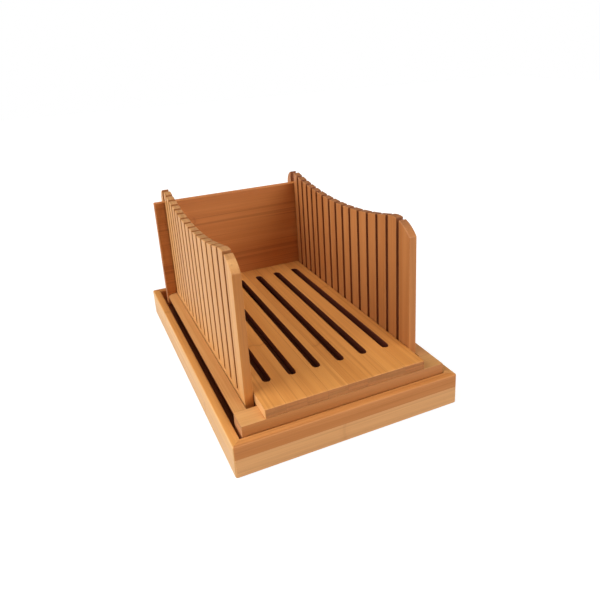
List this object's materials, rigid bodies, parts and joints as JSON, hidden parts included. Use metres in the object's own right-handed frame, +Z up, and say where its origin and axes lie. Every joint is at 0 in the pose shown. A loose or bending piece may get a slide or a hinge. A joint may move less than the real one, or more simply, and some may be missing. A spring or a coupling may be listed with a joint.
{
  "type": "bread slicer guide",
  "caption": "Bamboo bread slicing guide: two upright comb guides and a back board stand in a slotted base that lifts out of a shallow crumb tray.",
  "frame": {"origin": "centre of the tray's footprint, on the table", "axes": "+X to the right, +Y to the rear, where the back board stands, +Z up"},
  "size_m": [0.23, 0.3718, 0.1834],
  "materials": {
    "tray_upper_strip": "satin oiled bamboo",
    "tray_lower_strip": "satin oiled bamboo",
    "tray_floor_board": "satin thin bamboo sheet",
    "base_bamboo": "satin oiled bamboo",
    "board_bamboo": "satin oiled bamboo",
    "dowel_wood": "raw turned bamboo",
    "guide_bamboo": "satin oiled bamboo",
    "panel_bamboo": "satin oiled bamboo"
  },
  "bodies": {
    "tray": {"tray_front_upper": "tray_upper_strip", "tray_rear_upper": "tray_upper_strip", "tray_left_upper": "tray_upper_strip", "tray_right_upper": "tray_upper_strip", "tray_front_lower": "tray_lower_strip", "tray_rear_lower": "tray_lower_strip", "tray_left_lower": "tray_lower_strip", "tray_right_lower": "tray_lower_strip", "tray_floor": "tray_floor_board"},
    "base": {"base_front_bar": "base_bamboo", "base_rear_bar": "base_bamboo", "base_left_rail": "base_bamboo", "base_right_rail": "base_bamboo", "base_left_inner_rail": "base_bamboo", "base_right_inner_rail": "base_bamboo", "base_rear_cleat": "base_bamboo", "centre_board": "board_bamboo", "base_front_dowels": "dowel_wood", "base_rear_dowels": "dowel_wood"},
    "left_guide": {"left_guide": "guide_bamboo"},
    "right_guide": {"right_guide": "guide_bamboo"},
    "back_panel": {"back_panel": "panel_bamboo"}
  },
  "joints": [
    {"name": "base_lift", "type": "slide", "parent": "tray", "child": "base", "axis": [0, 0, 1], "range_m": [0, 0.06]},
    {"name": "left_guide_lift", "type": "slide", "parent": "base", "child": "left_guide", "axis": [0, 0, 1], "range_m": [0, 0.04]},
    {"name": "right_guide_lift", "type": "slide", "parent": "base", "child": "right_guide", "axis": [0, 0, 1], "range_m": [0, 0.04]},
    {"name": "panel_lift", "type": "slide", "parent": "left_guide", "child": "back_panel", "axis": [0, 0, 1], "range_m": [0, 0.16]}
  ],
  "couplings": [
    {"joint": "right_guide_lift", "follows": "left_guide_lift", "ratio": 1}
  ]
}
